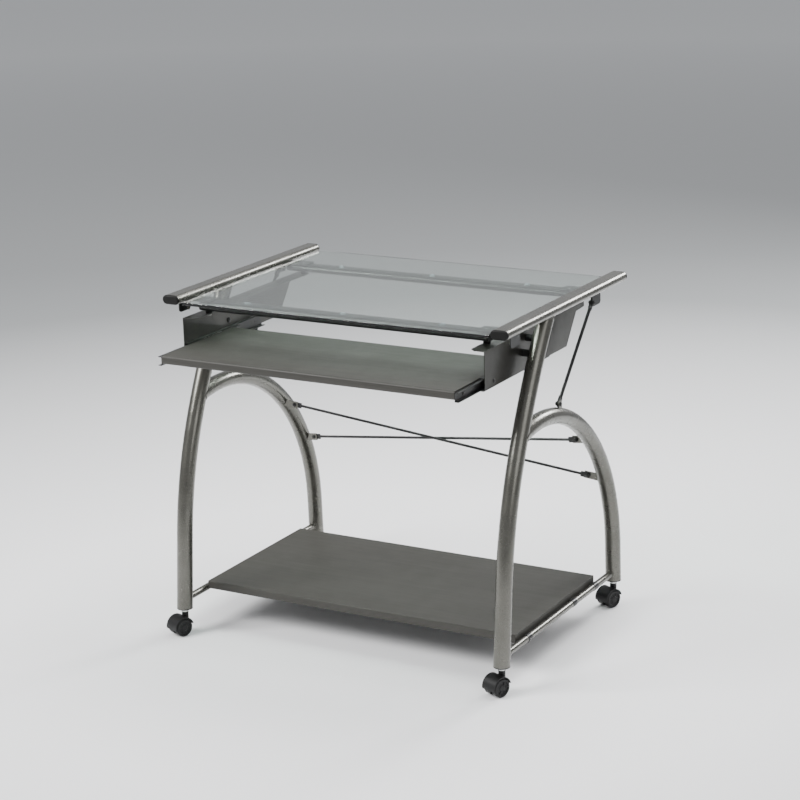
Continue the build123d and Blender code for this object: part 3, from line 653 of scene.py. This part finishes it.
wheel = {
    "segments": 60, "round": 0.0024, "dish": 0.0018, "cap": 0.0067,
    "bore": 0.00308, "boreEnd": 0.003, "boss": (0.0058, 0.0064),
    "backDish": 0.0028, "backWall": 0.0046, "backRim": 0.0036,
    "mouldHalf": 0.0004, "mouldLow": 0.00025,
    "rim": ((0.0045, 0), (0.0051, 0.0003)),  # in from the tread, and down from the face
    "dishOut": 0.0058, "dishIn": 0.008,
    "spokes": 6, "spokeRise": 0.001, "spokeFrom": 0.0081, "spokeTo": 0.0059, "near": 0.0001,
    "spokeTurn": 12, "spokeStart": 363,  # a spoke's width and the first one's place, in degrees
}
for joint in frame["joints"]:
    if not joint["name"].startswith("roll_"):
        continue
    node = joint["child"]
    hub, axis = Vector(joint["pos_m"]), Vector(joint["axis"]).normalized()
    outside = 1 if node.endswith("right") else -1
    corners = [v.co.copy() for v in nodes[node].data.vertices]
    reachOut = [(c - hub).dot(axis) * outside for c in corners]
    a0, a1 = min(reachOut), max(reachOut)
    radius = max(((c - hub) - axis * (c - hub).dot(axis)).length for c in corners)
    middle = (a0 + a1) / 2
    corner = []
    for turn in (0, 22, 45, 68, 90):
        inward = wheel["round"] * (1 - cos(radians(turn)))
        corner.append((radius - inward, a1 - wheel["round"] * (1 - sin(radians(turn)))))
    inner = [(r, a0 + a1 - a) for r, a in reversed(corner)]
    shape = spun([
        (wheel["bore"], a1 - wheel["boreEnd"]), (wheel["bore"], a0),
        (wheel["boss"][0], a0), (wheel["boss"][1], a0 + wheel["backDish"]),
        (radius - wheel["backWall"], a0 + wheel["backDish"]), (radius - wheel["backRim"], a0),
        *inner,
        (radius, middle - wheel["mouldHalf"]), (radius - wheel["mouldLow"], middle),
        (radius, middle + wheel["mouldHalf"]), *corner,
        *((radius - inward, a1 - down) for inward, down in wheel["rim"]),
        (radius - wheel["dishOut"], a1 - wheel["dish"]), (wheel["dishIn"], a1 - wheel["dish"]),
        (0.0072, a1 - 0.0011), (wheel["cap"], a1 - 0.0006), (0.0064, a1 - 0.0003),
        (0.0045, a1 - 0.0001), (0, a1),
    ], wheel["segments"])
    spokes = []
    for face in shape.faces:
        centre = face.calc_center_median()
        inDish = abs(centre.z - a1 + wheel["dish"]) < wheel["near"]
        onSpoke = wheel["spokeFrom"] < Vector(centre[:2]).length < radius - wheel["spokeTo"]
        angle = round(degrees(atan2(centre.y, centre.x)) + wheel["spokeStart"])
        if onSpoke and inDish and angle % (360 // wheel["spokes"]) < wheel["spokeTurn"]:
            spokes.append(face)
    raised = bmesh.ops.extrude_face_region(shape, geom=spokes)["geom"]
    raised = [v for v in raised if isinstance(v, bmesh.types.BMVert)]
    bmesh.ops.translate(shape, vec=(0, 0, wheel["spokeRise"]), verts=raised)
    bmesh.ops.delete(shape, geom=spokes, context="FACES")
    place = Matrix.Translation(hub) @ (axis * outside).to_track_quat("Z", "Y").to_matrix().to_4x4()
    bmesh.ops.transform(shape, matrix=place, verts=shape.verts)
    name = "caster" + node.replace("_", " ").title().replace(" ", "")
    finishPiece(name, shape, node, "caster_plastic", [node])
print("wheels made")

# Floor, lights and camera

# The floor's colour is painted light and shade, set by the distance from the desk: painted light under the desk,
# painted shade out to about 3 m, and painted light again from 4 m to 11 m.
studio = {
    "floorReach": 40, "pale": 0.9, "dull": 3.2, "far": (4.0, 11.0),  # metres from the desk
    "air": "#dcdde0", "airLight": 0.7,
}

floorSheet = bmesh.new()
bmesh.ops.create_grid(floorSheet, x_segments=1, y_segments=1, size=studio["floorReach"])
floorMesh = bpy.data.meshes.new("floor")
floorSheet.to_mesh(floorMesh)
floorSheet.free()
floor = bpy.data.objects.new("floor", floorMesh)
scene.collection.objects.link(floor)
material, tree, place = startMaterial("studioFloor")
length = addNode(tree, "ShaderNodeVectorMath", {"operation": "LENGTH"}, {0: place})
distance = length.outputs["Value"]
shade = spread(tree, distance, studio["pale"], studio["dull"], 0, 1)  # painted light under the desk only, painted shade beyond
far = spread(tree, distance, *studio["far"], 0, 1)
# f4f4f5 is the painted pool of light by the desk, #a0a2a3 the painted shade around it, and #dddfe0 the painted
# light farther out
near = twoColours(tree, shade, "#f4f4f5", "#a0a2a3")
sweep = addNode(
    tree, "ShaderNodeMix", {"data_type": "RGBA", 7: linear("#dddfe0")}, {0: far, 6: near}
).outputs[2]
finishMaterial(tree, addNode(
    tree,
    "ShaderNodeBsdfPrincipled",
    {"Roughness": 0.7, "Specular IOR Level": 0.2},
    {"Base Color": sweep},
))
floorMesh.materials.append(material)

world = bpy.data.worlds.new("studioAir")
scene.world = world
world.use_nodes = True
world.node_tree.nodes["Background"].inputs["Color"].default_value = linear(studio["air"])
world.node_tree.nodes["Background"].inputs["Strength"].default_value = studio["airLight"]

lamps = {
    "keyLamp": {"at": (-2.6, -2.8, 3.4), "to": (0, 0, 0.3), "size": 2.2, "watts": 330},
    "fillLamp": {"at": (3.4, -2.0, 2.2), "to": (0, 0, 0.4), "size": 2.5, "watts": 50},
    "topLamp": {"at": (0.6, 1.4, 3.6), "to": (0, 0, 0.5), "size": 2.6, "watts": 150},
    "rimLamp": {"at": (1.1, 3.6, 2.3), "to": (0.2, 0, 0.7), "size": 1.1, "watts": 110},
}
for name, lamp in lamps.items():
    light = bpy.data.lights.new(name, "AREA")
    light.shape = "SQUARE"
    light.size = lamp["size"]
    light.energy = lamp["watts"]
    holder = bpy.data.objects.new(name, light)
    holder.location = lamp["at"]
    holder.rotation_mode = "QUATERNION"
    holder.rotation_quaternion = (Vector(lamp["to"]) - Vector(lamp["at"])).to_track_quat("-Z", "Y")
    scene.collection.objects.link(holder)

view = {
    "azimuth": 29.32, "elevation": 15.68, "roll": -1.45,
    "lens": 101.07, "sensor": 36, "clip": 200, "at": (2.2997, -4.0432, 1.8185),
}
turn, rise = radians(view["azimuth"]), radians(view["elevation"])
back = Vector((sin(turn) * cos(rise), -cos(turn) * cos(rise), sin(rise)))
across = Vector((cos(turn), sin(turn), 0))
frameTurn = Matrix((across, back.cross(across), back)).transposed()
frameTurn = frameTurn @ Matrix.Rotation(radians(view["roll"]), 3, "Z")
cameraData = bpy.data.cameras.new("studioCamera")
cameraData.lens = view["lens"]
cameraData.sensor_width = view["sensor"]
cameraData.clip_end = view["clip"]
camera = bpy.data.objects.new("studioCamera", cameraData)
camera.matrix_world = Matrix.Translation(view["at"]) @ frameTurn.to_4x4()
scene.collection.objects.link(camera)
scene.camera = camera
print("stage made")
